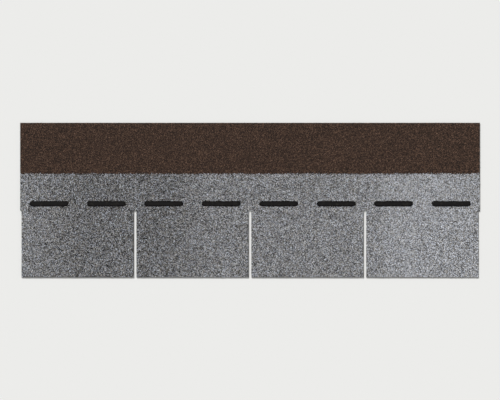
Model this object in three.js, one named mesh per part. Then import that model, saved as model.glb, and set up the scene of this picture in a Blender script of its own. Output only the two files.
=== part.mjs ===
// Four-tab asphalt strip shingle, lying flat with its weather side up. Millimetres, +Z up.
//
// Frame: +X runs along the strip, -Y points down the roof, towards the free edge of the tabs,
// and z = 0 is the sanded underside. The origin is the middle of the underside.
//
// The strip is one sheet: a felt coated with asphalt and surfaced with mineral granules. A die
// cuts it out, with a slot between each pair of tabs and half a slot at each end, so that two
// strips laid end to end leave one more whole slot. Dabs of self-sealing asphalt lie in a line
// just above the slots, where they glue down the tabs of the next course.

import * as THREE from 'three';

// ---- Driving dimensions ----

// Sheet
const TAB_COUNT = 4;
const TAB_PITCH = 250;          // slot centre to slot centre
const TAB_DEPTH = 145;          // depth of the slots, which is the part left open to the weather
const HEAD_LAP = 46;            // how far the course after next still laps over this one
const SHEET_THICKNESS = 3.2;    // over the granules

// Slots
const SLOT_WIDTH = 6;
const SLOT_END_RADIUS = 2.5;    // inner corners, left by the die

// Self-sealing dabs
const DABS_PER_TAB = 2;
const DAB_LENGTH = 85;
const DAB_WIDTH = 12;
const DAB_HEIGHT = 1;
const DAB_RIDGE_WIDTH = 2.4;    // flat crown along the top of a dab
const DAB_SLOT_CLEARANCE = 9;   // from the inner end of the slots to the dabs

// Facets
const CORNER_SEGMENTS = 8;
const DAB_END_SEGMENTS = 10;
const DAB_RINGS = 5;

// ---- Dependent sizes ----

const stripLength = TAB_COUNT * TAB_PITCH;
const stripWidth = 2 * TAB_DEPTH + HEAD_LAP;
const buttY = -stripWidth / 2;
const slotEndY = buttY + TAB_DEPTH;
const topY = stripWidth / 2;
const slotEndRadius = Math.min(SLOT_END_RADIUS, SLOT_WIDTH / 2);
const dabY = slotEndY + DAB_SLOT_CLEARANCE + DAB_WIDTH / 2;
const dabPitch = TAB_PITCH / DABS_PER_TAB;

// ---- Materials ----

const granuleSurface = new THREE.MeshStandardMaterial({
  name: 'mineral granules',
  color: 0x767678,
  roughness: 0.95,
  metalness: 0,
});

const sealant = new THREE.MeshStandardMaterial({
  name: 'self-sealing asphalt',
  color: 0x141312,
  roughness: 0.35,
  metalness: 0,
});

// ---- Strip ----

// One side of a slot's inner end: an arc that turns the path from the slot's wall to its end.
function inwardCorner(path, x, fromAngle, toAngle) {
  const centreY = slotEndY - slotEndRadius;
  path.absarc(x, centreY, slotEndRadius, fromAngle, toAngle, true);
}

// The die's outline, counter-clockwise from the left end of the butt edge.
function stripOutline() {
  const halfSlot = SLOT_WIDTH / 2;
  const left = -stripLength / 2;
  const right = stripLength / 2;
  const outline = new THREE.Shape();
  outline.moveTo(left + halfSlot, buttY);
  for (let i = 1; i < TAB_COUNT; i += 1) {
    const slotX = left + i * TAB_PITCH;
    outline.lineTo(slotX - halfSlot, buttY);
    inwardCorner(outline, slotX - halfSlot + slotEndRadius, Math.PI, Math.PI / 2);
    inwardCorner(outline, slotX + halfSlot - slotEndRadius, Math.PI / 2, 0);
    outline.lineTo(slotX + halfSlot, buttY);
  }
  outline.lineTo(right - halfSlot, buttY);
  inwardCorner(outline, right - halfSlot + slotEndRadius, Math.PI, Math.PI / 2);
  outline.lineTo(right, slotEndY);
  outline.lineTo(right, topY);
  outline.lineTo(left, topY);
  outline.lineTo(left, slotEndY);
  inwardCorner(outline, left + halfSlot - slotEndRadius, Math.PI / 2, 0);
  outline.closePath();
  return outline;
}

function shingleStrip() {
  const geometry = new THREE.ExtrudeGeometry(stripOutline(), {
    depth: SHEET_THICKNESS,
    bevelEnabled: false,
    curveSegments: CORNER_SEGMENTS,
  });
  const strip = new THREE.Mesh(geometry, granuleSurface);
  strip.name = 'shingle_strip';
  return strip;
}

// ---- Self-sealing dabs ----

// A level ring of points round a dab: two half circles joined by straight sides.
function dabRing(radius, z) {
  const endX = (DAB_LENGTH - DAB_WIDTH) / 2;
  const ring = [];
  for (const side of [1, -1]) {
    for (let i = 0; i <= DAB_END_SEGMENTS; i += 1) {
      const angle = (i / DAB_END_SEGMENTS - 0.5) * Math.PI;
      ring.push([side * (endX + radius * Math.cos(angle)), side * radius * Math.sin(angle), z]);
    }
  }
  return ring;
}

// A dab is a loft of such rings, drawn in towards a narrow ridge as an ellipse's quarter.
function dabGeometry() {
  const ridgeAngle = Math.acos(DAB_RIDGE_WIDTH / DAB_WIDTH);
  const rings = [];
  for (let k = 0; k <= DAB_RINGS; k += 1) {
    const angle = (k / DAB_RINGS) * ridgeAngle;
    const height = (DAB_HEIGHT * Math.sin(angle)) / Math.sin(ridgeAngle);
    rings.push(dabRing((DAB_WIDTH / 2) * Math.cos(angle), height));
  }
  const count = rings[0].length;
  const index = [];
  for (let k = 0; k < DAB_RINGS; k += 1) {
    for (let i = 0; i < count; i += 1) {
      const a = k * count + i;
      const b = k * count + ((i + 1) % count);
      index.push(a, b, b + count, a, b + count, a + count);
    }
  }
  const ridge = DAB_RINGS * count;
  for (let i = 1; i < count - 1; i += 1) {
    index.push(0, i + 1, i);
    index.push(ridge, ridge + i, ridge + i + 1);
  }
  const geometry = new THREE.BufferGeometry();
  geometry.setAttribute('position', new THREE.Float32BufferAttribute(rings.flat(2), 3));
  geometry.setIndex(index);
  geometry.computeVertexNormals();
  return geometry;
}

function sealDabs() {
  const dabs = new THREE.Group();
  const geometry = dabGeometry();
  const total = TAB_COUNT * DABS_PER_TAB;
  for (let i = 0; i < total; i += 1) {
    const dab = new THREE.Mesh(geometry, sealant);
    dab.name = `seal_dab_${i + 1}`;
    dab.position.set(-stripLength / 2 + (i + 0.5) * dabPitch, dabY, SHEET_THICKNESS);
    dabs.add(dab);
  }
  return dabs;
}

// ---- Whole shingle ----

const shingle = new THREE.Group();
shingle.add(shingleStrip(), sealDabs());

export default shingle;
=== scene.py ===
"""Looks of an asphalt strip shingle that lies flat with its weather side up.

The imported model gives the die-cut outline of the sheet and the places of the self-sealing dabs.
This script dresses them: an asphalt sheet with cut edges and a sanded back, a bed of crushed
stone granules on it, one by one, whose blend of tones changes along the strip, and soft dabs of
sealing asphalt. Lengths are metres, and named sizes in millimetres are multiplied by MM.
"""

from __future__ import annotations

import logging
import math
from abc import ABC, abstractmethod
from dataclasses import dataclass, field
from enum import Enum
from typing import Any

import bmesh
import bpy
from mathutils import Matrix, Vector, noise
from mathutils.geometry import delaunay_2d_cdt


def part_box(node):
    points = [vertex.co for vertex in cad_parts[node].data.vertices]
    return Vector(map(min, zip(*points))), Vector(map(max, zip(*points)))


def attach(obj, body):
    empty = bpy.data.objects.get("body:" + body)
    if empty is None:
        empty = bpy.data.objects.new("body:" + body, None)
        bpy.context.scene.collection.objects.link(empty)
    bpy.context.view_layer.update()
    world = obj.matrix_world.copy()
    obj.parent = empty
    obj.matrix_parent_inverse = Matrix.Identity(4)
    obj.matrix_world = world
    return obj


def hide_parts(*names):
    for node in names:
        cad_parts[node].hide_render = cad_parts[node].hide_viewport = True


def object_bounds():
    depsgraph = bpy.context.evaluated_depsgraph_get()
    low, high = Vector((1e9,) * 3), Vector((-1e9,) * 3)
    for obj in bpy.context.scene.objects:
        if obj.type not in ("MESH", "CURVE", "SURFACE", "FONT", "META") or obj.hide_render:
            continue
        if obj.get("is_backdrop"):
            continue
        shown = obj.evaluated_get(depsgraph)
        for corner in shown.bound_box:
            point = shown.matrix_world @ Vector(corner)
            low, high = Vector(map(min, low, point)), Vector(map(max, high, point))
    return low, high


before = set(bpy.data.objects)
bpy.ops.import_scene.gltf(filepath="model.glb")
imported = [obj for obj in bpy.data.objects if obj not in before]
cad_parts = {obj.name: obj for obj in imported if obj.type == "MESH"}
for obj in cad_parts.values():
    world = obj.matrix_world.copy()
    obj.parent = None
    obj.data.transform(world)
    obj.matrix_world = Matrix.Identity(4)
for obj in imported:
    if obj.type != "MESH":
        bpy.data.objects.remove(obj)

Tree = bpy.types.NodeTree
Socket = bpy.types.NodeSocket
Inputs = dict[str | int, Any]
Stops = tuple[tuple[float, str], ...]

MM = 0.001
BODY = "root"
STRIP_NODE = "shingle_strip"
DAB_PREFIX = "seal_dab_"

WELD_MM = 0.001
# The kind of result of a Delaunay triangulation that keeps what is inside the outline.
CDT_INSIDE = 1
# The setting of a range node that rounds off both ends of its stretch.
EASED = {"interpolation_type": "SMOOTHSTEP"}

TONE = "grain_tone"
LAP_SHARE = "grain_lap"
BAKE_MAP = "OFBake"

log = logging.getLogger("shingle")


# ---------------------------------------------------------------- small helpers


def linear(code: str) -> tuple[float, float, float, float]:
    """Turns a hex sRGB colour into the linear colour that the nodes take.

    Args:
        code: the colour as "#rrggbb".

    Returns:
        Red, green, blue and an alpha of 1.
    """
    parts = [int(code[i:i + 2], 16) / 255 for i in (1, 3, 5)]
    red, green, blue = (c / 12.92 if c <= 0.04045 else ((c + 0.055) / 1.055) ** 2.4 for c in parts)
    return red, green, blue, 1.0


def pick(sockets: Any, key: str | int) -> Socket:
    """Finds a node's socket.

    Args:
        sockets: the node's inputs or outputs.
        key: the socket's index, or its name, where the first one in use counts.

    Returns:
        The socket.
    """
    if isinstance(key, int):
        return sockets[key]
    return next(s for s in sockets if s.name == key and s.enabled)


def add_node(
    tree: Tree,
    kind: str,
    settings: dict[str, Any] | None = None,
    inputs: Inputs | None = None,
    output: str | int = 0,
) -> Socket:
    """Adds a node with its settings, values and incoming links.

    Args:
        tree: the node tree to add to.
        kind: the node's type name.
        settings: attributes of the node.
        inputs: for each input, by name or index, a value, the socket to link from, or a list
            of sockets to link from where the input joins them.
        output: the output to hand back, by name or index.

    Returns:
        The chosen output, whose node is its node attribute, or for a node with no output its
        first input.
    """
    node = tree.nodes.new(kind)
    for name, value in (settings or {}).items():
        setattr(node, name, value)
    for key, value in (inputs or {}).items():
        socket = pick(node.inputs, key)
        if isinstance(value, list):
            for source in value:
                tree.links.new(source, socket)
        elif isinstance(value, bpy.types.NodeSocket):
            tree.links.new(value, socket)
        else:
            socket.default_value = value
    return pick(node.outputs, output) if len(node.outputs) else node.inputs[0]


def pattern(place: Socket, size_mm: float, **more: float) -> Inputs:
    """Gives the inputs of a texture node.

    Args:
        place: the point, in metres.
        size_mm: the width of one cell of the pattern.
        more: further inputs by name.

    Returns:
        The inputs by name.
    """
    return {"Vector": place, "Scale": 1.0 / (size_mm * MM), **more}


def uneven(
    tree: Tree, place: Socket, size_mm: float, low: float, high: float, detail: float = 2.0
) -> Socket:
    """Gives a number that changes smoothly from place to place.

    Args:
        tree: a material's or a geometry's tree.
        place: the point, in metres.
        size_mm: how far apart its swells lie.
        low: the least number.
        high: the greatest number.
        detail: how many finer swells ride on them.

    Returns:
        The number.
    """
    wave = add_node(tree, "ShaderNodeTexNoise", inputs=pattern(place, size_mm, Detail=detail))
    return add_node(tree, "ShaderNodeMapRange", inputs={"Value": wave, "To Min": low, "To Max": high})


def stretch(value: Socket, middle_mm: float, soft_mm: float, before: float, after: float) -> Inputs:
    """Gives the inputs of a range node that turns one number into another over a stretch.

    Args:
        value: the place, in metres.
        middle_mm: the middle of the stretch.
        soft_mm: the stretch's length.
        before: the number ahead of it.
        after: the number past it.

    Returns:
        The inputs by name.
    """
    return {
        "Value": value,
        "From Min": (middle_mm - soft_mm / 2) * MM,
        "From Max": (middle_mm + soft_mm / 2) * MM,
        "To Min": before,
        "To Max": after,
    }


def set_ramp(socket: Socket, stops: Stops, mode: str) -> Socket:
    """Writes the stops of a Color Ramp node.

    Args:
        socket: the node's output.
        stops: places from 0 to 1 with their hex colours, in order.
        mode: the ramp's interpolation.

    Returns:
        The same output.
    """
    ramp = socket.node.color_ramp
    ramp.interpolation = mode
    while len(ramp.elements) < len(stops):
        ramp.elements.new(1.0)
    for element, (place, code) in zip(ramp.elements, stops):
        element.position = place
        element.color = linear(code)
    return socket


def new_object(name: str, mesh: bpy.types.Mesh) -> bpy.types.Object:
    """Links a mesh to the scene as an object at the origin.

    Args:
        name: the object's name.
        mesh: the mesh.

    Returns:
        The object.
    """
    made = bpy.data.objects.new(name, mesh)
    bpy.context.scene.collection.objects.link(made)
    return made


def new_tree(name: str, inputs: dict[str, str]) -> tuple[Tree, Any]:
    """Makes a Geometry Nodes tree that takes and gives a geometry.

    Args:
        name: the tree's name.
        inputs: for each further input, its name and socket type.

    Returns:
        The tree and what it is given, as the outputs of its Group Input node.
    """
    tree = bpy.data.node_groups.new(name, "GeometryNodeTree")
    face = tree.interface
    face.new_socket("Geometry", in_out="INPUT", socket_type="NodeSocketGeometry")
    for title, kind in inputs.items():
        face.new_socket(title, in_out="INPUT", socket_type=kind)
    face.new_socket("Geometry", in_out="OUTPUT", socket_type="NodeSocketGeometry")
    return tree, add_node(tree, "NodeGroupInput").node.outputs


def close_tree(tree: Tree, geometry: Socket, smooth: bool, material: bpy.types.Material) -> None:
    """Ends a Geometry Nodes tree.

    Args:
        tree: the tree.
        geometry: what it has made, with no instances left in it.
        smooth: whether its faces are shaded smoothly.
        material: the finish of its faces.
    """
    made = add_node(
        tree, "GeometryNodeSetShadeSmooth", inputs={"Geometry": geometry, "Shade Smooth": smooth}
    )
    made = add_node(tree, "GeometryNodeSetMaterial", inputs={"Geometry": made, "Material": material})
    add_node(tree, "NodeGroupOutput", inputs={"Geometry": made})


def run_tree(carrier: bpy.types.Object, tree: Tree, values: dict[str, Any]) -> None:
    """Runs a Geometry Nodes tree on an object and keeps its result as the object's plain mesh.

    Args:
        carrier: the object, whose own mesh is the tree's geometry.
        tree: the tree.
        values: the tree's inputs by name.
    """
    modifier = carrier.modifiers.new("nodes", "NODES")
    modifier.node_group = tree
    for item in tree.interface.items_tree:
        if item.item_type == "SOCKET" and item.in_out == "INPUT" and item.name in values:
            modifier[item.identifier] = values[item.name]
    graph = bpy.context.evaluated_depsgraph_get()
    result = bpy.data.meshes.new_from_object(
        carrier.evaluated_get(graph), preserve_all_data_layers=True, depsgraph=graph
    )
    carrier.modifiers.remove(modifier)
    # The solids that a tree starts from bring an empty material slot.
    while result.materials[0] is None:
        result.materials.pop(index=0)
    source = carrier.data
    result.name = carrier.name
    carrier.data = result
    bpy.data.meshes.remove(source)


def triangles(made: bpy.types.Object) -> int:
    """Counts the triangles of an object's mesh."""
    made.data.calc_loop_triangles()
    return len(made.data.loop_triangles)


# ---------------------------------------------------------------- the blend


@dataclass(frozen=True)
class BlendDrop:
    """A stretch of the strip where the mill dropped a darker or lighter mix of granules.

    The places are millimetres from the strip's left end. A shift above 0 is lighter.
    """

    start_mm: float
    end_mm: float
    soft_start_mm: float
    soft_end_mm: float
    shift: float


@dataclass(frozen=True)
class BlendPlan:
    """Where the mix of granules changes, along the strip and up it.

    Both the stones and the fines between them follow it, so its nodes suit either kind of tree.
    The drops hit the moving sheet as ragged clouds, so their ends wander. The covered part is
    surfaced from a hopper of its own, so the drops pass it by.
    """

    left_mm: float
    butt_mm: float
    drops: tuple[BlendDrop, ...] = (
        BlendDrop(70.0, 370.0, 160.0, 150.0, -0.115),
        BlendDrop(640.0, 1200.0, 180.0, 50.0, 0.035),
        BlendDrop(785.0, 1030.0, 90.0, 200.0, 0.145),
    )
    wander_mm: float = 14.0
    wander_length_mm: float = 60.0
    lap_line_mm: float = 225.0
    lap_line_soft_mm: float = 5.0

    def shift(self, tree: Tree, place: Socket, lap: Socket) -> Socket:
        """Gives how much lighter or darker than the base the mix is at a place.

        Args:
            tree: a material's or a geometry's tree.
            place: the place, in metres.
            lap: 1 on the covered part's stones, and 0 on the others.

        Returns:
            The shift of the stones' tones, as a share of the whole range.
        """
        along = add_node(tree, "ShaderNodeSeparateXYZ", inputs={"Vector": place}, output="X")
        low, high = (-self.wander_mm - self.left_mm) * MM, (self.wander_mm - self.left_mm) * MM
        moved = uneven(tree, place, self.wander_length_mm, low, high)
        along = add_node(tree, "ShaderNodeMath", {"operation": "ADD"}, {0: along, 1: moved})
        dropped: Socket | float = 0.0
        for drop in self.drops:
            ends = (
                stretch(along, drop.start_mm, drop.soft_start_mm, 0.0, drop.shift),
                stretch(along, drop.end_mm, drop.soft_end_mm, 1.0, 0.0),
            )
            rise, fall = (add_node(tree, "ShaderNodeMapRange", EASED, end) for end in ends)
            dropped = add_node(
                tree, "ShaderNodeMath", {"operation": "MULTIPLY_ADD"}, {0: rise, 1: fall, 2: dropped}
            )
        weather = add_node(tree, "ShaderNodeMath", {"operation": "SUBTRACT"}, {0: 1.0, 1: lap})
        return add_node(tree, "ShaderNodeMath", {"operation": "MULTIPLY"}, {0: dropped, 1: weather})

    def lap(self, tree: Tree, place: Socket, draw: Socket) -> Socket:
        """Says of a stone whether it is of the covered part's surfacing.

        Args:
            tree: a material's or a geometry's tree.
            place: the stone's place, in metres.
            draw: the stone's own random number from 0 to 1.

        Returns:
            1 where it is, and 0 where it isn't.
        """
        up = add_node(tree, "ShaderNodeSeparateXYZ", inputs={"Vector": place}, output="Y")
        line = stretch(up, self.butt_mm + self.lap_line_mm, self.lap_line_soft_mm, 0.0, 1.0)
        share = add_node(tree, "ShaderNodeMapRange", EASED, line)
        return add_node(tree, "ShaderNodeMath", {"operation": "GREATER_THAN"}, {0: share, 1: draw})


@dataclass(frozen=True)
class GranuleColours:
    """Ceramic colour coats, in the handful of tones that the blend is mixed from.

    The tones are shares of the mix, so a darker or lighter drop only takes other shares of them.
    Each grey comes out of the kiln a little bluer or a little more buff from batch to batch. The
    covered part of the strip is dressed with brown slag.
    """

    weather_mix: Stops = (
        (0.00, "#1b1c1d"),
        (0.08, "#1e1c19"),
        (0.17, "#4e4f53"),
        (0.27, "#534f4a"),
        (0.37, "#87898e"),
        (0.48, "#8c8982"),
        (0.59, "#b4b8c1"),
        (0.70, "#bcb8b2"),
        (0.80, "#d3dae6"),
        (0.87, "#dbdad9"),
        (0.93, "#e7eaf1"),
    )
    lap_mix: Stops = (
        (0.00, "#281e19"),
        (0.25, "#403027"),
        (0.60, "#5a4437"),
        (0.86, "#7c6050"),
    )

    def paint(self, tree: Tree, tone: Socket, lap: Socket) -> Socket:
        """Gives a stone's colour.

        Args:
            tree: the material's tree.
            tone: the stone's tone, from 0 to 1.
            lap: 1 on the covered part's stones, and 0 on the others.

        Returns:
            The colour.
        """
        weather, slag = (
            set_ramp(add_node(tree, "ShaderNodeValToRGB", inputs={"Fac": tone}), mix, "CONSTANT")
            for mix in (self.weather_mix, self.lap_mix)
        )
        return add_node(
            tree,
            "ShaderNodeMix",
            {"data_type": "RGBA"},
            {"Factor": lap, "A": weather, "B": slag},
            output="Result",
        )


# ---------------------------------------------------------------- finishes


@dataclass(frozen=True, kw_only=True)
class Finish(ABC):
    """What a surface is made of, with what is the same all over it."""

    name: str
    roughness: float
    specular: float

    def build(self) -> bpy.types.Material:
        """Builds the finish's material.

        Returns:
            The material, whose tree ends in a Principled shader.
        """
        material = bpy.data.materials.new(self.name)
        material.use_nodes = True
        tree = material.node_tree
        tree.nodes.clear()
        inputs = {"Roughness": self.roughness, "Specular IOR Level": self.specular}
        shader = add_node(tree, "ShaderNodeBsdfPrincipled", inputs=inputs | self.surface(tree))
        add_node(tree, "ShaderNodeOutputMaterial", inputs={"Surface": shader})
        return material

    @abstractmethod
    def surface(self, tree: Tree) -> Inputs:
        """Adds the nodes that change from place to place.

        Args:
            tree: the material's tree.

        Returns:
            The shader's inputs that they set, by name.
        """


@dataclass(frozen=True, kw_only=True)
class GranuleFinish(Finish):
    """Crushed basalt with a fired ceramic coat: dull, angular and dry.

    The crusher left each facet rough, and the coat is pitted, so that its tone isn't even.
    """

    colours: GranuleColours
    name: str = "ceramic_coated_basalt"
    roughness: float = 0.85
    specular: float = 0.25
    coat_unevenness: float = 0.12
    pit_mm: float = 0.35
    break_mm: float = 0.6
    break_relief_mm: float = 0.22

    def surface(self, tree: Tree) -> Inputs:
        """Adds the coat, which reads each stone's tone and whether it is lap surfacing.

        Args:
            tree: the material's tree.

        Returns:
            The shader's inputs.
        """
        tone = add_node(tree, "ShaderNodeAttribute", {"attribute_name": TONE}, output="Fac")
        lap = add_node(tree, "ShaderNodeAttribute", {"attribute_name": LAP_SHARE}, output="Fac")
        colour = self.colours.paint(tree, tone, lap)
        place = add_node(tree, "ShaderNodeTexCoord", output="Object")
        low, high = 1.0 - self.coat_unevenness, 1.0 + self.coat_unevenness
        level = uneven(tree, place, self.pit_mm, low, high)
        coat = add_node(
            tree, "ShaderNodeVectorMath", {"operation": "SCALE"}, {0: colour, "Scale": level}
        )
        height = uneven(tree, place, self.break_mm, 0.0, self.break_relief_mm * MM, detail=3.0)
        bump = add_node(tree, "ShaderNodeBump", inputs={"Height": height, "Distance": 1.0})
        return {"Base Color": coat, "Normal": bump}


@dataclass(frozen=True, kw_only=True)
class PressedGrainFinish(Finish):
    """Grains pressed into a level face of asphalt, each with a flat facet that leans its own way.

    Their outlines are ragged and their faces rough. The gaps between them are uneven: here the
    asphalt closes over a grain's rim, and there two grains touch. The asphalt stains a grain's
    rim, and the grain rises out of it over a rounded shoulder.
    """

    asphalt: str
    grain_mm: float
    ragged_mm: float
    gap_mm: float
    gap_wander_mm: float
    stain_mm: float
    shoulder_mm: float
    sink_mm: float
    tilt: float
    skin_relief_mm: float

    @abstractmethod
    def paint(self, tree: Tree, draw: Socket, middle: Socket) -> Socket:
        """Gives a grain's colour.

        Args:
            tree: the material's tree.
            draw: the grain's own random number from 0 to 1, whose node has a second one.
            middle: the grain's middle, in metres.

        Returns:
            The colour.
        """

    def surface(self, tree: Tree) -> Inputs:
        """Adds the grains and the asphalt between them.

        Args:
            tree: the material's tree.

        Returns:
            The shader's inputs.
        """
        place = add_node(tree, "ShaderNodeTexCoord", output="Object")
        cell = pattern(self._frayed(tree, place), self.grain_mm)
        draws = add_node(tree, "ShaderNodeTexVoronoi", {"voronoi_dimensions": "2D"}, cell, "Color")
        middle = pick(draws.node.outputs, "Position")
        draw = add_node(tree, "ShaderNodeSeparateColor", inputs={"Color": draws}, output="Red")
        rim = self._rim(tree, place, cell)
        shown, raised = (
            add_node(
                tree, "ShaderNodeMapRange", inputs={"Value": rim, "From Max": width_mm / self.grain_mm}
            )
            for width_mm in (self.stain_mm, self.shoulder_mm)
        )
        colour = add_node(
            tree,
            "ShaderNodeMix",
            {"data_type": "RGBA"},
            {"Factor": shown, "A": linear(self.asphalt), "B": self.paint(tree, draw, middle)},
            "Result",
        )
        height = self._height(tree, place, draws, raised)
        bump = add_node(tree, "ShaderNodeBump", inputs={"Height": height, "Distance": 1.0})
        return {"Base Color": colour, "Normal": bump}

    def _frayed(self, tree: Tree, place: Socket) -> Socket:
        """Shakes the points that the grains' outlines are drawn at.

        Args:
            tree: the material's tree.
            place: the point, in metres.

        Returns:
            The point, moved a little.
        """
        shake = add_node(
            tree,
            "ShaderNodeTexNoise",
            inputs=pattern(place, self.grain_mm / 2, Detail=3.0),
            output="Color",
        )
        reach = self.ragged_mm * MM
        move = add_node(
            tree,
            "ShaderNodeVectorMath",
            {"operation": "MULTIPLY_ADD"},
            {0: shake, 1: (2 * reach,) * 3, 2: (-reach,) * 3},
        )
        return add_node(tree, "ShaderNodeVectorMath", {"operation": "ADD"}, {0: place, 1: move})

    def _rim(self, tree: Tree, place: Socket, cell: Inputs) -> Socket:
        """Measures how far inside a grain's rim a point lies, with gaps of uneven width.

        Args:
            tree: the material's tree.
            place: the point, in metres.
            cell: the grains' pattern.

        Returns:
            The distance as a share of a grain's width, which is below 0 in a gap.
        """
        edge = add_node(
            tree,
            "ShaderNodeTexVoronoi",
            {"voronoi_dimensions": "2D", "feature": "DISTANCE_TO_EDGE"},
            cell,
            "Distance",
        )
        gap, reach = self.gap_mm / self.grain_mm, self.gap_wander_mm / self.grain_mm
        wander = uneven(tree, place, 2 * self.grain_mm, -gap - reach, -gap + reach, detail=1.0)
        return add_node(tree, "ShaderNodeMath", {"operation": "ADD"}, {0: edge, 1: wander})

    def _height(self, tree: Tree, place: Socket, draws: Socket, raised: Socket) -> Socket:
        """Gives the height of the grains, each of which leans by its own random numbers.

        Args:
            tree: the material's tree.
            place: the point, in metres.
            draws: the grain's random numbers, whose node has its middle.
            raised: 0 in a gap, 1 on the grain's facet, and in between on its shoulder.

        Returns:
            The height, in metres.
        """
        offset = add_node(
            tree,
            "ShaderNodeVectorMath",
            {"operation": "SUBTRACT"},
            {0: place, 1: pick(draws.node.outputs, "Position")},
        )
        lean = add_node(
            tree,
            "ShaderNodeVectorMath",
            {"operation": "MULTIPLY_ADD"},
            {0: draws, 1: (2 * self.tilt, 2 * self.tilt, 0.0), 2: (-self.tilt, -self.tilt, 0.0)},
        )
        facet = add_node(
            tree, "ShaderNodeVectorMath", {"operation": "DOT_PRODUCT"}, {0: offset, 1: lean}, "Value"
        )
        skin = uneven(tree, place, self.grain_mm / 2, 0.0, self.skin_relief_mm * MM, detail=3.0)
        face = add_node(tree, "ShaderNodeMath", {"operation": "ADD"}, {0: facet, 1: skin})
        return add_node(
            tree,
            "ShaderNodeMath",
            {"operation": "MULTIPLY_ADD"},
            {0: raised, 1: self.sink_mm * MM, 2: face},
        )


@dataclass(frozen=True, kw_only=True)
class FinesFinish(PressedGrainFinish):
    """The finer granules of the same blend, pressed into black asphalt between the large ones.

    They are dull and dry, with dark asphalt in the gaps. Real ones are half as wide, and they
    are drawn as coarse as they need to be to show.
    """

    colours: GranuleColours
    blend: BlendPlan
    name: str = "granule_fines_in_asphalt"
    roughness: float = 0.85
    specular: float = 0.25
    asphalt: str = "#161514"
    grain_mm: float = 1.0
    ragged_mm: float = 0.4
    gap_mm: float = 0.06
    gap_wander_mm: float = 0.1
    stain_mm: float = 0.07
    shoulder_mm: float = 0.22
    sink_mm: float = 0.25
    tilt: float = 0.85
    skin_relief_mm: float = 0.2

    def paint(self, tree: Tree, draw: Socket, middle: Socket) -> Socket:
        """Gives a fine granule the colour that the blend has at its place.

        Args:
            tree: the material's tree.
            draw: its own random number from 0 to 1, whose node has a second one.
            middle: its middle, in metres.

        Returns:
            The colour.
        """
        lap = self.blend.lap(tree, middle, pick(draw.node.outputs, "Green"))
        shift = self.blend.shift(tree, middle, lap)
        tone = add_node(tree, "ShaderNodeMath", {"operation": "ADD"}, {0: draw, 1: shift})
        return self.colours.paint(tree, tone, lap)


@dataclass(frozen=True, kw_only=True)
class SandedBackFinish(PressedGrainFinish):
    """Asphalt dusted with fine sand while hot, so that strips don't stick in the pack.

    It is dry to the eye, a drab grey brown in which the black shows through. Real sand is half
    as wide, and it is drawn as coarse as it needs to be to show.
    """

    name: str = "sanded_asphalt_back"
    roughness: float = 0.9
    specular: float = 0.25
    asphalt: str = "#1d1c1b"
    grain_mm: float = 0.6
    ragged_mm: float = 0.2
    gap_mm: float = 0.05
    gap_wander_mm: float = 0.16
    stain_mm: float = 0.05
    shoulder_mm: float = 0.1
    sink_mm: float = 0.1
    tilt: float = 0.7
    skin_relief_mm: float = 0.08
    sands: Stops = ((0.00, "#2b2a28"), (0.30, "#565249"), (0.60, "#767065"), (0.88, "#979084"))

    def paint(self, tree: Tree, draw: Socket, middle: Socket) -> Socket:
        """Gives a grain of sand its colour, which is mixed the same all over.

        Args:
            tree: the material's tree.
            draw: its own random number from 0 to 1.
            middle: its middle, in metres, which is not used.

        Returns:
            The colour.
        """
        ramp = add_node(tree, "ShaderNodeValToRGB", inputs={"Fac": draw})
        return set_ramp(ramp, self.sands, "CONSTANT")


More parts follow.
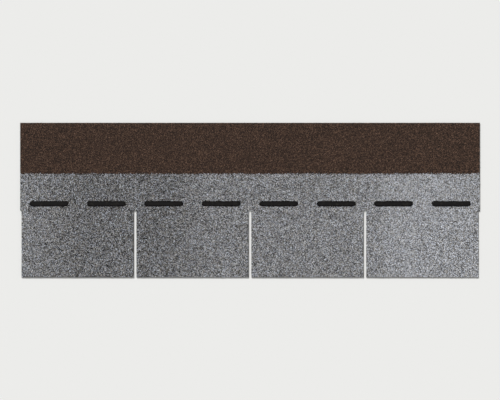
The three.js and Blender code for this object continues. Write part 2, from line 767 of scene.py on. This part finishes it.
@dataclass(frozen=True, kw_only=True)
class CutEdgeFinish(Finish):
    """The die's cut through the sheet: black asphalt, grey filler and the glass mat's fibres.

    The blade smears the asphalt from top to bottom, and the cut fibres make a dull, broken line
    at half height. A fibre is too thin to show, so tufts of them are drawn.
    """

    middle_mm: float
    name: str = "die_cut_asphalt"
    roughness: float = 0.65
    specular: float = 0.25
    shades: Stops = ((0.42, "#131211"), (0.68, "#332e29"))
    fibres: str = "#6b6355"
    smear_mm: float = 1.6
    smear_squeeze: float = 0.3
    mat_mm: float = 0.45
    tuft_mm: float = 0.35
    tuft_rim: tuple[float, float] = (0.48, 0.62)
    relief_mm: float = 0.1

    def surface(self, tree: Tree) -> Inputs:
        """Adds the smeared asphalt and the line of fibres.

        Args:
            tree: the material's tree.

        Returns:
            The shader's inputs.
        """
        place = add_node(tree, "ShaderNodeTexCoord", output="Object")
        drawn = add_node(
            tree, "ShaderNodeMapping", inputs={"Vector": place, "Scale": (1.0, 1.0, self.smear_squeeze)}
        )
        smear = add_node(
            tree, "ShaderNodeTexNoise", inputs=pattern(drawn, self.smear_mm, Detail=4.0, Roughness=0.65)
        )
        shades = add_node(tree, "ShaderNodeValToRGB", inputs={"Fac": smear})
        set_ramp(shades, self.shades, "LINEAR")
        colour = add_node(
            tree,
            "ShaderNodeMix",
            {"data_type": "RGBA"},
            {"Factor": self._mat(tree, place), "A": shades, "B": linear(self.fibres)},
            output="Result",
        )
        bump = add_node(
            tree, "ShaderNodeBump", inputs={"Height": smear, "Distance": self.relief_mm * MM}
        )
        return {"Base Color": colour, "Normal": bump}

    def _mat(self, tree: Tree, place: Socket) -> Socket:
        """Tells the cut fibres from the asphalt.

        Args:
            tree: the material's tree.
            place: the point, in metres.

        Returns:
            The share of fibres there.
        """
        up = add_node(tree, "ShaderNodeSeparateXYZ", inputs={"Vector": place}, output="Z")
        rims = (
            stretch(up, self.middle_mm - self.mat_mm, self.mat_mm, 0.0, 1.0),
            stretch(up, self.middle_mm + self.mat_mm, self.mat_mm, 1.0, 0.0),
        )
        below, above = (add_node(tree, "ShaderNodeMapRange", EASED, rim) for rim in rims)
        band = add_node(tree, "ShaderNodeMath", {"operation": "MULTIPLY"}, {0: below, 1: above})
        ends = add_node(tree, "ShaderNodeTexNoise", inputs=pattern(place, self.tuft_mm, Detail=3.0))
        low, high = self.tuft_rim
        tufts = add_node(
            tree, "ShaderNodeMapRange", inputs={"Value": ends, "From Min": low, "From Max": high}
        )
        return add_node(tree, "ShaderNodeMath", {"operation": "MULTIPLY"}, {0: band, 1: tufts})


@dataclass(frozen=True, kw_only=True)
class SealantFinish(Finish):
    """Modified asphalt laid hot and left to set: black, with a faint shine and dusty patches.

    The granules under it show through as low pebbles, most of all where it thins to its rim.
    """

    base_mm: float
    crown_mm: float
    name: str = "self_sealing_asphalt"
    roughness: float = 0.88
    clean_roughness: float = 0.72
    specular: float = 0.15
    shades: Stops = ((0.52, "#0b0a0a"), (0.75, "#24221f"))
    dust_mm: float = 7.0
    dust_rim: tuple[float, float] = (0.40, 0.65)
    skin_mm: float = 3.0
    skin_relief_mm: float = 0.14
    pebble_mm: float = 1.8
    pebble_smoothness: float = 0.35
    rim_relief_mm: float = 0.7
    crown_relief_mm: float = 0.35

    def surface(self, tree: Tree) -> Inputs:
        """Adds the dust and the skin's relief.

        Args:
            tree: the material's tree.

        Returns:
            The shader's inputs.
        """
        place = add_node(tree, "ShaderNodeTexCoord", output="Object")
        dust = add_node(tree, "ShaderNodeTexNoise", inputs=pattern(place, self.dust_mm, Detail=5.0))
        shades = add_node(tree, "ShaderNodeValToRGB", inputs={"Fac": dust})
        set_ramp(shades, self.shades, "LINEAR")
        low, high = self.dust_rim
        roughness = add_node(
            tree,
            "ShaderNodeMapRange",
            inputs={
                "Value": dust,
                "From Min": low,
                "From Max": high,
                "To Min": self.clean_roughness,
                "To Max": self.roughness,
            },
        )
        height = self._height(tree, place)
        bump = add_node(tree, "ShaderNodeBump", inputs={"Height": height, "Distance": 1.0})
        return {"Base Color": shades, "Roughness": roughness, "Normal": bump}

    def _height(self, tree: Tree, place: Socket) -> Socket:
        """Gives the height of the skin over the granules.

        Args:
            tree: the material's tree.
            place: the point, in metres.

        Returns:
            The height, in metres.
        """
        distance = add_node(
            tree,
            "ShaderNodeTexVoronoi",
            {"feature": "SMOOTH_F1"},
            pattern(place, self.pebble_mm, Smoothness=self.pebble_smoothness),
            "Distance",
        )
        up = add_node(tree, "ShaderNodeSeparateXYZ", inputs={"Vector": place}, output="Z")
        reach = add_node(
            tree,
            "ShaderNodeMapRange",
            inputs={
                "Value": up,
                "From Min": self.base_mm * MM,
                "From Max": self.crown_mm * MM,
                "To Min": -self.rim_relief_mm * MM,
                "To Max": -self.crown_relief_mm * MM,
            },
        )
        slack = uneven(tree, place, self.skin_mm, 0.0, self.skin_relief_mm * MM)
        return add_node(
            tree, "ShaderNodeMath", {"operation": "MULTIPLY_ADD"}, {0: distance, 1: reach, 2: slack}
        )


@dataclass(frozen=True, kw_only=True)
class FloorFinish(Finish):
    """A plain, pale floor, so matt that no glare sets it off from the backdrop."""

    name: str = "pale_floor"
    roughness: float = 0.9
    specular: float = 0.0
    paint: str = "#ececea"

    def surface(self, tree: Tree) -> Inputs:
        """Gives the shader its one colour."""
        return {"Base Color": linear(self.paint)}


# ---------------------------------------------------------------- the sheet


class Side(Enum):
    """The material slots of the sheet's three kinds of face."""

    TOP = 0
    EDGE = 1
    BACK = 2


@dataclass
class DieCut:
    """The outline that the die left, read from the frame's strip."""

    low: Vector = field(init=False)
    high: Vector = field(init=False)
    loop: list[Vector] = field(init=False)
    tabs: list[tuple[float, float]] = field(init=False)
    slot_end: float = field(init=False)

    def __post_init__(self) -> None:
        """Walks round the strip's underside and finds the tabs and the slots' inner end."""
        self.low, self.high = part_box(STRIP_NODE)
        self.loop = self._walk()
        butt = sorted(p.x for p in self.loop if p.y < self.low.y + WELD_MM * MM)
        self.tabs = list(zip(butt[0::2], butt[1::2]))
        left_slot, right_slot = self.tabs[0][1], self.tabs[1][0]
        self.slot_end = max(
            p.y for p in self.loop if left_slot <= p.x <= right_slot and p.y < self.high.y
        )

    def _walk(self) -> list[Vector]:
        """Follows the rim of the strip's underside.

        Returns:
            Its points in order, anticlockwise from above.
        """
        mesh = bmesh.new()
        mesh.from_mesh(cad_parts[STRIP_NODE].data)
        bmesh.ops.remove_doubles(mesh, verts=mesh.verts, dist=WELD_MM * MM)
        underside = [f for f in mesh.faces if f.normal.z < -0.5]
        rim: dict[tuple[float, ...], tuple[Vector, tuple[float, ...]]] = {}
        for face in underside:
            for corner in face.loops:
                if corner.link_loop_radial_next.face not in underside:
                    start, end = corner.link_loop_next.vert.co, corner.vert.co
                    rim[tuple(start)] = (start.copy(), tuple(end))
        mesh.free()
        key = min(rim)
        loop = []
        while key in rim:
            point, key = rim.pop(key)
            loop.append(point)
        return loop


@dataclass
class CoatedSheet:
    """The felt with its asphalt coating, as the die cut it, without the granules.

    The profile of its cut edge gives, from the back up, a share of the thickness and how many
    millimetres inside the outline the edge lies there.
    """

    cut: DieCut
    fines: FinesFinish
    granule_stand_mm: float = 0.75
    step_mm: float = 2.0
    mesh_grid_mm: float = 25.0
    wander_mm: float = 0.16
    wander_length_mm: float = 5.0
    profile: tuple[tuple[float, float], ...] = (
        (0.00, 0.14),
        (0.22, 0.02),
        (0.60, 0.00),
        (0.88, 0.06),
        (1.00, 0.22),
    )

    @property
    def top(self) -> float:
        """Height of the asphalt that the granules are bedded in."""
        return self.cut.high.z - self.granule_stand_mm * MM

    def build(self) -> bpy.types.Object:
        """Builds the sheet: a top, a sanded back, and cut edges with the die's slight burr.

        Returns:
            The sheet, which stands for the frame's strip.
        """
        points = self._stepped()
        outward = self._normals(points)
        mesh = bmesh.new()
        rows = [self._row(mesh, points, outward, share, inset) for share, inset in self.profile]
        count = len(points)
        for low, high in zip(rows, rows[1:]):
            for i in range(count):
                j = (i + 1) % count
                wall = mesh.faces.new((low[i], low[j], high[j], high[i]))
                wall.material_index = Side.EDGE.value
        self._cap(mesh, rows[-1], Side.TOP)
        self._cap(mesh, rows[0], Side.BACK)
        data = bpy.data.meshes.new("coated_sheet")
        mesh.to_mesh(data)
        mesh.free()
        edge = CutEdgeFinish(middle_mm=(self.cut.low.z + self.top) / 2 / MM)
        for finish in (self.fines, edge, SandedBackFinish()):
            data.materials.append(finish.build())
        sheet = new_object("coated_sheet", data)
        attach(sheet, BODY)
        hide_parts(STRIP_NODE)
        return sheet

    def _cap(self, mesh: bmesh.types.BMesh, ring: list[bmesh.types.BMVert], side: Side) -> None:
        """Closes one side of the sheet with even triangles.

        Args:
            mesh: the mesh to add to.
            ring: the last ring of the cut edge on that side, anticlockwise from above.
            side: the side that it closes.
        """
        height = ring[0].co.z
        spots = [v.co.xy / MM for v in ring] + self._grid()
        triangulated = delaunay_2d_cdt(spots, [], [list(range(len(ring)))], CDT_INSIDE, WELD_MM)
        places, faces, origins = triangulated[0], triangulated[2], triangulated[3]
        corners: dict[int, bmesh.types.BMVert] = {}
        for face in faces:
            for index in face:
                if index in corners:
                    continue
                first = min(origins[index])
                if first < len(ring):
                    corners[index] = ring[first]
                else:
                    spot = places[index] * MM
                    corners[index] = mesh.verts.new((spot.x, spot.y, height))
            order = face if side is Side.TOP else list(reversed(face))
            mesh.faces.new([corners[i] for i in order]).material_index = side.value

    def _grid(self) -> list[Vector]:
        """Spaces out the points that the triangles inside the outline meet at.

        Returns:
            The points, in millimetres.
        """
        low, high, step = self.cut.low / MM, self.cut.high / MM, self.mesh_grid_mm
        columns = round((high.x - low.x) / step)
        rows = round((high.y - low.y) / step)
        return [
            Vector((low.x + (i + 0.5) * step, low.y + (j + 0.5) * step))
            for i in range(columns)
            for j in range(rows)
        ]

    def _stepped(self) -> list[Vector]:
        """Adds points to the outline's long edges, so that they can wander a little.

        Returns:
            The outline's points, anticlockwise from above.
        """
        points = []
        for start, end in zip(self.cut.loop, self.cut.loop[1:] + self.cut.loop[:1]):
            steps = max(1, round((end - start).length / (self.step_mm * MM)))
            points += [start.lerp(end, k / steps) for k in range(steps)]
        return points

    @staticmethod
    def _normals(points: list[Vector]) -> list[Vector]:
        """Finds which way is out.

        Args:
            points: an outline, anticlockwise from above.

        Returns:
            The outward direction at each point.
        """
        result = []
        for before, after in zip(points[-1:] + points, points[1:] + points[:1]):
            along = after - before
            result.append(Vector((along.y, -along.x, 0.0)).normalized())
        return result

    def _row(
        self,
        mesh: bmesh.types.BMesh,
        points: list[Vector],
        outward: list[Vector],
        share: float,
        inset_mm: float,
    ) -> list[bmesh.types.BMVert]:
        """Adds one ring of the cut edge.

        Args:
            mesh: the mesh to add to.
            points: the outline.
            outward: the outline's outward directions.
            share: the ring's height as a share of the sheet's thickness.
            inset_mm: how far the ring lies inside the outline.

        Returns:
            The ring's vertices.
        """
        height = self.cut.low.z + share * (self.top - self.cut.low.z)
        scale = 1.0 / (self.wander_length_mm * MM)
        ring = []
        for point, out in zip(points, outward):
            spot = Vector((point.x * scale, point.y * scale, share))
            move = self.wander_mm * noise.noise(spot) - inset_mm
            place = point + out * move * MM
            ring.append(mesh.verts.new((place.x, place.y, height)))
        return ring


# ---------------------------------------------------------------- the granules


class Zone(Enum):
    """The stretches that the granule bed is made in, and the names of their pieces."""

    TAB = "granules_tab_"
    LAP = "granules_lap_"


class Draw(Enum):
    """What is drawn at random for a stone, with the seed that keeps it apart from the rest."""

    TONE = 11
    LAP = 12
    BLANK = 13
    TURN = 14
    SIZE = 15
    SQUASH = 16
    CHIP = 17

    def between(self, low: Any, high: Any) -> Inputs:
        """Gives the inputs of a random value node.

        Args:
            low: the least value, a whole number, a number or three numbers.
            high: the greatest value, of the same kind.

        Returns:
            The inputs by name.
        """
        return {"Min": low, "Max": high, "Seed": self.value}


@dataclass(frozen=True)
class Bed:
    """One rectangle of the granule bed."""

    zone: Zone
    number: int
    low: Vector
    high: Vector

    @property
    def name(self) -> str:
        """The piece's name."""
        return f"{self.zone.value}{self.number}"


@dataclass
class GranuleSurface:
    """The large granules, each a small angular stone pressed into the asphalt.

    Real ones are about 1.1 mm across. These are a little larger, so that the bed's triangles
    stay within bounds with every stone a solid of its own. They are crushed from three plain
    solids: a lump, given by its radius, a wedge, by its lower and upper radius and its depth,
    and a block, by its sides. The sizes of these are shares of half a stone.
    """

    cut: DieCut
    bed_height: float
    blend: BlendPlan
    finish: GranuleFinish
    edge_mm: float = 0.75
    spacing_mm: float = 1.32
    candidates_per_mm2: float = 2.0
    stone_mm: tuple[float, float] = (1.3, 2.1)
    lump: float = 1.0
    wedge: tuple[float, float, float] = (1.1, 0.85, 1.3)
    block: tuple[float, float, float] = (1.5, 1.3, 1.1)
    oblong: float = 0.25
    flattened_to: float = 0.75
    lift_mm: float = 0.12
    press_mm: float = 0.72
    chip: float = 0.2
    wave_mm: float = 0.1
    wave_length_mm: float = 30.0
    map_margin_mm: float = 2.0

    def build(self) -> list[bpy.types.Object]:
        """Builds the bed, tab by tab and then the part above the slots.

        Returns:
            The pieces.
        """
        tree = self._tree(self.finish.build())
        return [self._scatter(bed, tree, seed) for seed, bed in enumerate(self._beds())]

    def _beds(self) -> list[Bed]:
        """Divides the sheet into rectangles that keep clear of its cut edges.

        Returns:
            The rectangles.
        """
        edge = self.edge_mm * MM
        cut = self.cut
        line = cut.slot_end + edge
        beds = []
        for i, (left, right) in enumerate(cut.tabs, 1):
            low = Vector((left + edge, cut.low.y + edge, 0.0))
            beds.append(Bed(Zone.TAB, i, low, Vector((right - edge, line, 0.0))))
        ends = [cut.low.x + edge]
        ends += [(a[1] + b[0]) / 2 for a, b in zip(cut.tabs, cut.tabs[1:])]
        ends.append(cut.high.x - edge)
        for i, (left, right) in enumerate(zip(ends, ends[1:]), 1):
            low = Vector((left, line, 0.0))
            beds.append(Bed(Zone.LAP, i, low, Vector((right, cut.high.y - edge, 0.0))))
        return beds

    def _scatter(self, bed: Bed, tree: Tree, seed: int) -> bpy.types.Object:
        """Fills one rectangle with granules.

        Args:
            bed: the rectangle.
            tree: the granule tree.
            seed: the seed of the bed's draws.

        Returns:
            The piece.
        """
        low, high, level = bed.low, bed.high, self.bed_height
        corners = [(low.x, low.y), (high.x, low.y), (high.x, high.y), (low.x, high.y)]
        data = bpy.data.meshes.new(bed.name)
        data.from_pydata([(x, y, level) for x, y in corners], [], [(0, 1, 2, 3)])
        piece = new_object(bed.name, data)
        margin = Vector((1.0, 1.0, 0.0)) * self.map_margin_mm * MM
        values = {
            "Spacing": self.spacing_mm * MM,
            "Candidates": self.candidates_per_mm2 / MM**2,
            "Seed": seed,
            "Smallest Stone": self.stone_mm[0] * MM / 2,
            "Largest Stone": self.stone_mm[1] * MM / 2,
            "Bed Height": level,
            "Press Height": level + self.press_mm * MM,
            "Lift": self.lift_mm * MM,
            "Wave Height": self.wave_mm * MM,
            "Map Corner": low - margin,
            # The map is flat, and its depth of 1 m only keeps it from being divided by 0.
            "Map Size": high - low + 2 * margin + Vector((0.0, 0.0, 1.0)),
        }
        run_tree(piece, tree, values)
        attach(piece, BODY)
        return piece

    def _tree(self, stone: bpy.types.Material) -> Tree:
        """Builds the tree that turns a flat face into a bed of granules.

        Args:
            stone: the granules' material.

        Returns:
            The tree.
        """
        tree, given = new_tree(
            "granule_bed",
            {
                "Spacing": "NodeSocketFloat",
                "Candidates": "NodeSocketFloat",
                "Seed": "NodeSocketInt",
                "Smallest Stone": "NodeSocketFloat",
                "Largest Stone": "NodeSocketFloat",
                "Bed Height": "NodeSocketFloat",
                "Press Height": "NodeSocketFloat",
                "Lift": "NodeSocketFloat",
                "Wave Height": "NodeSocketFloat",
                "Map Corner": "NodeSocketVector",
                "Map Size": "NodeSocketVector",
            },
        )
        stones = self._stones(tree, self._places(tree, given), given)
        stones = self._chipped(tree, stones, given)
        stones = self._pressed(tree, stones, given)
        stones = self._mapped(tree, stones, given)
        close_tree(tree, stones, False, stone)
        return tree

    def _places(self, tree: Tree, given: Any) -> Socket:
        """Spreads the stones' places over the bed, and draws each stone's tone from the blend.

        Args:
            tree: the granule tree.
            given: the tree's inputs.

        Returns:
            The places, as points that keep the tones.
        """
        points = add_node(
            tree,
            "GeometryNodeDistributePointsOnFaces",
            {"distribute_method": "POISSON"},
            {
                "Mesh": given["Geometry"],
                "Distance Min": given["Spacing"],
                "Density Max": given["Candidates"],
                "Seed": given["Seed"],
            },
        )
        place = add_node(tree, "GeometryNodeInputPosition")
        draw = add_node(
            tree, "FunctionNodeRandomValue", {"data_type": "FLOAT"}, Draw.LAP.between(0.0, 1.0), "Value"
        )
        lap = self.blend.lap(tree, place, draw)
        shift = self.blend.shift(tree, place, lap)
        draw = add_node(
            tree, "FunctionNodeRandomValue", {"data_type": "FLOAT"}, Draw.TONE.between(0.0, 1.0), "Value"
        )
        tone = add_node(tree, "ShaderNodeMath", {"operation": "ADD"}, {0: draw, 1: shift})
        for name, value in ((TONE, tone), (LAP_SHARE, lap)):
            points = add_node(
                tree,
                "GeometryNodeStoreNamedAttribute",
                {"data_type": "FLOAT", "domain": "POINT"},
                {"Geometry": points, "Name": name, "Value": value},
            )
        return points

    def _stones(self, tree: Tree, points: Socket, given: Any) -> Socket:
        """Sets a stone at each place, and makes it a mesh of its own that can be reshaped.

        Args:
            tree: the granule tree.
            points: the stones' places.
            given: the tree's inputs.

        Returns:
            The stones.
        """
        blanks = self._blanks(tree)
        instances = add_node(tree, "GeometryNodeGeometryToInstance", inputs={"Geometry": blanks})
        blank = Draw.BLANK.between(0, len(blanks) - 1)
        turn = Draw.TURN.between((0.0,) * 3, (2 * math.pi,) * 3)
        index, rotation = (
            add_node(tree, "FunctionNodeRandomValue", {"data_type": kind}, draw, "Value")
            for kind, draw in (("INT", blank), ("FLOAT_VECTOR", turn))
        )
        stones = add_node(
            tree,
            "GeometryNodeInstanceOnPoints",
            inputs={
                "Points": points,
                "Instance": instances,
                "Pick Instance": True,
                "Instance Index": index,
                "Rotation": rotation,
                "Scale": self._size(tree, given),
            },
        )
        return add_node(tree, "GeometryNodeRealizeInstances", inputs={"Geometry": stones})

    def _blanks(self, tree: Tree) -> list[Socket]:
        """Makes the plain solids, about 2 across, that the crushed stones start from.

        Each has eight or twelve triangles, the least that gives a stone its facets.

        Args:
            tree: the granule tree.

        Returns:
            A lump, a wedge and a block.
        """
        lump = add_node(
            tree,
            "GeometryNodeMeshUVSphere",
            inputs={"Segments": 4, "Rings": 2, "Radius": self.lump},
            output="Mesh",
        )
        bottom, top, depth = self.wedge
        wedge = add_node(
            tree,
            "GeometryNodeMeshCone",
            {"fill_type": "NGON"},
            {"Vertices": 3, "Radius Top": top, "Radius Bottom": bottom, "Depth": depth},
            output="Mesh",
        )
        wedge = add_node(
            tree,
            "GeometryNodeTransform",
            inputs={"Geometry": wedge, "Translation": (0.0, 0.0, -depth / 2)},
        )
        block = add_node(tree, "GeometryNodeMeshCube", inputs={"Size": self.block}, output="Mesh")
        return [lump, wedge, block]

    def _size(self, tree: Tree, given: Any) -> Socket:
        """Draws each stone's three half sizes.

        Args:
            tree: the granule tree.
            given: the tree's inputs.

        Returns:
            The half sizes, in metres.
        """
        draw = add_node(
            tree, "FunctionNodeRandomValue", {"data_type": "FLOAT"}, Draw.SIZE.between(0.0, 1.0), "Value"
        )
        size = add_node(
            tree,
            "ShaderNodeMapRange",
            inputs={
                "Value": draw,
                "To Min": given["Smallest Stone"],
                "To Max": given["Largest Stone"],
            },
        )
        squash = add_node(
            tree,
            "FunctionNodeRandomValue",
            {"data_type": "FLOAT_VECTOR"},
            Draw.SQUASH.between((1.0 - self.oblong,) * 3, (1.0 + self.oblong,) * 3),
            "Value",
        )
        return add_node(tree, "ShaderNodeVectorMath", {"operation": "SCALE"}, {0: squash, "Scale": size})

    def _chipped(self, tree: Tree, stones: Socket, given: Any) -> Socket:
        """Moves each corner of each stone a little, so that no two stones are alike.

        Args:
            tree: the granule tree.
            stones: the stones.
            given: the tree's inputs.

        Returns:
            The stones.
        """
        reach = add_node(
            tree, "ShaderNodeMath", {"operation": "MULTIPLY"}, {0: given["Largest Stone"], 1: self.chip}
        )
        draw = add_node(
            tree,
            "FunctionNodeRandomValue",
            {"data_type": "FLOAT_VECTOR"},
            Draw.CHIP.between((-1.0,) * 3, (1.0,) * 3),
            "Value",
        )
        move = add_node(tree, "ShaderNodeVectorMath", {"operation": "SCALE"}, {0: draw, "Scale": reach})
        return add_node(tree, "GeometryNodeSetPosition", inputs={"Geometry": stones, "Offset": move})

    def _pressed(self, tree: Tree, stones: Socket, given: Any) -> Socket:
        """Flattens the stones into the asphalt, as the press roll does, over its slow waves.

        Args:
            tree: the granule tree.
            stones: the stones.
            given: the tree's inputs.

        Returns:
            The stones.
        """
        place = add_node(tree, "GeometryNodeInputPosition")
        parts = add_node(tree, "ShaderNodeSeparateXYZ", inputs={"Vector": place}, output="Z")
        bed = given["Bed Height"]
        above = add_node(tree, "ShaderNodeMath", {"operation": "SUBTRACT"}, {0: parts, 1: bed})
        lower = add_node(
            tree,
            "ShaderNodeMath",
            {"operation": "MULTIPLY_ADD"},
            {0: above, 1: self.flattened_to, 2: given["Lift"]},
        )
        height = add_node(tree, "ShaderNodeMath", {"operation": "ADD"}, {0: lower, 1: bed})
        held = add_node(
            tree, "ShaderNodeMath", {"operation": "MINIMUM"}, {0: height, 1: given["Press Height"]}
        )
        swell = uneven(tree, place, self.wave_length_mm, -1.0, 1.0, detail=1.0)
        rolled = add_node(
            tree,
            "ShaderNodeMath",
            {"operation": "MULTIPLY_ADD"},
            {0: swell, 1: given["Wave Height"], 2: held},
        )
        across, up = (pick(parts.node.outputs, name) for name in "XY")
        spot = add_node(tree, "ShaderNodeCombineXYZ", inputs={"X": across, "Y": up, "Z": rolled})
        return add_node(tree, "GeometryNodeSetPosition", inputs={"Geometry": stones, "Position": spot})

    @staticmethod
    def _mapped(tree: Tree, stones: Socket, given: Any) -> Socket:
        """Gives the bed a map seen from straight above, so that a stone keeps its own colour.

        Args:
            tree: the granule tree.
            stones: the stones.
            given: the tree's inputs.

        Returns:
            The stones.
        """
        place = add_node(tree, "GeometryNodeInputPosition")
        moved = add_node(
            tree, "ShaderNodeVectorMath", {"operation": "SUBTRACT"}, {0: place, 1: given["Map Corner"]}
        )
        share = add_node(
            tree, "ShaderNodeVectorMath", {"operation": "DIVIDE"}, {0: moved, 1: given["Map Size"]}
        )
        return add_node(
            tree,
            "GeometryNodeStoreNamedAttribute",
            {"data_type": "FLOAT2", "domain": "CORNER"},
            {"Geometry": stones, "Name": BAKE_MAP, "Value": share},
        )


# ---------------------------------------------------------------- the dabs


@dataclass
class SealDabs:
    """The dabs of self-sealing asphalt in their line above the slots."""

    sink_mm: float = 0.7
    slice_mm: float = 1.5
    rim_wander_mm: float = 0.5
    crown_wander_mm: float = 0.25
    wander_length_mm: float = 8.0

    def build(self) -> list[bpy.types.Object]:
        """Builds one soft dab for each that the frame holds.

        Returns:
            The dabs, in the order of their numbers.
        """
        names = sorted(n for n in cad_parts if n.startswith(DAB_PREFIX))
        low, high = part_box(names[0])
        sealant = SealantFinish(base_mm=low.z / MM, crown_mm=high.z / MM)
        tree = self._tree(sealant.build())
        return [self._pour(name, tree) for name in names]

    def _pour(self, name: str, tree: Tree) -> bpy.types.Object:
        """Makes a slack dab from the frame's, with its rim down among the granules.

        Args:
            name: the frame's node.
            tree: the dab tree.

        Returns:
            The piece, which stands for that node.
        """
        low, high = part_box(name)
        mesh = bmesh.new()
        mesh.from_mesh(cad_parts[name].data)
        bmesh.ops.remove_doubles(mesh, verts=mesh.verts, dist=WELD_MM * MM)
        count = round((high.x - low.x) / (self.slice_mm * MM))
        for i in range(1, count):
            bmesh.ops.bisect_plane(
                mesh,
                geom=mesh.verts[:] + mesh.edges[:] + mesh.faces[:],
                dist=WELD_MM * MM,
                plane_co=low.lerp(high, i / count),
                plane_no=(1.0, 0.0, 0.0),
            )
        bmesh.ops.triangulate(mesh, faces=mesh.faces)
        for vert in mesh.verts:
            if vert.co.z < low.z + WELD_MM * MM:
                vert.co.z -= self.sink_mm * MM
        data = bpy.data.meshes.new(name)
        mesh.to_mesh(data)
        mesh.free()
        piece = new_object(f"poured_dab_{name[len(DAB_PREFIX):]}", data)
        values = {
            "Base Height": low.z,
            "Crown Height": high.z,
            "Rim Wander": self.rim_wander_mm * MM,
            "Crown Wander": self.crown_wander_mm * MM,
        }
        run_tree(piece, tree, values)
        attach(piece, BODY)
        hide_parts(name)
        return piece

    def _tree(self, sealant: bpy.types.Material) -> Tree:
        """Builds the tree that lets a dab slump: its rim wanders and its crown isn't even.

        Args:
            sealant: the dabs' material.

        Returns:
            The tree.
        """
        sizes = ("Base Height", "Crown Height", "Rim Wander", "Crown Wander")
        tree, given = new_tree("slack_dab", {size: "NodeSocketFloat" for size in sizes})
        place = add_node(tree, "GeometryNodeInputPosition")
        drift = add_node(
            tree,
            "ShaderNodeTexNoise",
            inputs=pattern(place, self.wander_length_mm, Detail=2.0),
            output="Color",
        )
        # The noise keeps near its middle, so twice its range spans about -1 to 1.
        centred = add_node(
            tree,
            "ShaderNodeVectorMath",
            {"operation": "MULTIPLY_ADD"},
            {0: drift, 1: (4.0,) * 3, 2: (-2.0,) * 3},
        )
        up = add_node(tree, "ShaderNodeSeparateXYZ", inputs={"Vector": place}, output="Z")
        lift = add_node(
            tree,
            "ShaderNodeMapRange",
            inputs={
                "Value": up,
                "From Min": given["Base Height"],
                "From Max": given["Crown Height"],
                "To Min": 0.0,
                "To Max": given["Crown Wander"],
            },
        )
        rim = given["Rim Wander"]
        reach = add_node(tree, "ShaderNodeCombineXYZ", inputs={"X": rim, "Y": rim, "Z": lift})
        move = add_node(tree, "ShaderNodeVectorMath", {"operation": "MULTIPLY"}, {0: centred, 1: reach})
        dab = add_node(
            tree, "GeometryNodeSetPosition", inputs={"Geometry": given["Geometry"], "Offset": move}
        )
        dab = add_node(tree, "GeometryNodeRealizeInstances", inputs={"Geometry": dab})
        close_tree(tree, dab, True, sealant)
        return tree


# ---------------------------------------------------------------- the studio


@dataclass
class Studio:
    """A pale floor under soft daylight from the upper left, seen from straight above.

    The sun's height, its turn to the left from the strip's upper side and its softness are
    degrees.
    """

    low: Vector
    high: Vector
    floor: FloorFinish = FloorFinish()
    floor_m: float = 14.0
    lens: float = 100.0
    strip_share: float = 0.92
    sun_height: float = 34.0
    sun_side: float = 28.0
    sun_soft: float = 7.0
    sky_share: float = 0.35

    def build(self) -> None:
        """Builds the floor, the light and the camera."""
        self._floor()
        self._sun()
        self._sky()
        self._camera()
        bpy.context.scene.view_settings.view_transform = "Standard"

    def _floor(self) -> None:
        """Lays the floor at the height of the shingle's underside."""
        half = self.floor_m / 2
        corners = [(-half, -half), (half, -half), (half, half), (-half, half)]
        data = bpy.data.meshes.new("floor")
        data.from_pydata([(x, y, self.low.z) for x, y in corners], [], [(0, 1, 2, 3)])
        data.materials.append(self.floor.build())
        new_object("floor", data)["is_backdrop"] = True

    def _sun(self) -> None:
        """Hangs a soft sun that gives what the sky leaves of a level surface's light."""
        lamp = bpy.data.lights.new("key", "SUN")
        lamp.angle = math.radians(self.sun_soft)
        height = math.radians(self.sun_height)
        lamp.energy = (1.0 - self.sky_share) * math.pi / math.sin(height)
        key = bpy.data.objects.new("key", lamp)
        side = math.radians(self.sun_side)
        towards = Vector((
            -math.sin(side) * math.cos(height),
            math.cos(side) * math.cos(height),
            math.sin(height),
        ))
        key.rotation_euler = towards.to_track_quat("Z", "Y").to_euler()
        bpy.context.scene.collection.objects.link(key)

    def _sky(self) -> None:
        """Lights the scene evenly, and shows the floor's tone to the camera and in reflections."""
        world = bpy.data.worlds.new("sky")
        bpy.context.scene.world = world
        world.use_nodes = True
        tree = world.node_tree
        tree.nodes.clear()
        path = add_node(tree, "ShaderNodeLightPath", output="Is Camera Ray")
        seen = path
        for name in ("Is Glossy Ray", "Is Transmission Ray"):
            ray = pick(path.node.outputs, name)
            seen = add_node(tree, "ShaderNodeMath", {"operation": "MAXIMUM"}, {0: seen, 1: ray})
        white = (1.0, 1.0, 1.0, 1.0)
        light, show = (
            add_node(tree, "ShaderNodeBackground", inputs={"Color": colour, "Strength": strength})
            for colour, strength in ((white, self.sky_share), (linear(self.floor.paint), 1.0))
        )
        both = add_node(tree, "ShaderNodeMixShader", inputs={0: seen, 1: light, 2: show})
        add_node(tree, "ShaderNodeOutputWorld", inputs={"Surface": both})

    def _camera(self) -> None:
        """Looks straight down, with the strip across the picture and its tabs below."""
        lens = bpy.data.cameras.new("camera")
        lens.lens = self.lens
        view = bpy.data.objects.new("camera", lens)
        middle = (self.low + self.high) / 2
        width = (self.high.x - self.low.x) / self.strip_share
        distance = width * self.lens / lens.sensor_width
        view.location = (middle.x, middle.y, self.high.z + distance)
        bpy.context.scene.collection.objects.link(view)
        bpy.context.scene.camera = view


# ---------------------------------------------------------------- all of it


def main() -> None:
    """Builds the shingle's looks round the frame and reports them."""
    logging.basicConfig(level=logging.INFO, format="%(name)s: %(message)s")
    cad_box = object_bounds()
    cut = DieCut()
    colours = GranuleColours()
    blend = BlendPlan(cut.low.x / MM, cut.low.y / MM)
    sheet = CoatedSheet(cut, FinesFinish(colours=colours, blend=blend))
    pieces = [sheet.build()]
    pieces += GranuleSurface(cut, sheet.top, blend, GranuleFinish(colours=colours)).build()
    pieces += SealDabs().build()
    Studio(*cad_box).build()
    total = 0
    for piece in pieces:
        count = triangles(piece)
        total += count
        log.info("%s: %d triangles", piece.name, count)
    log.info("all pieces: %d triangles", total)


if __name__ == "__main__":
    main()
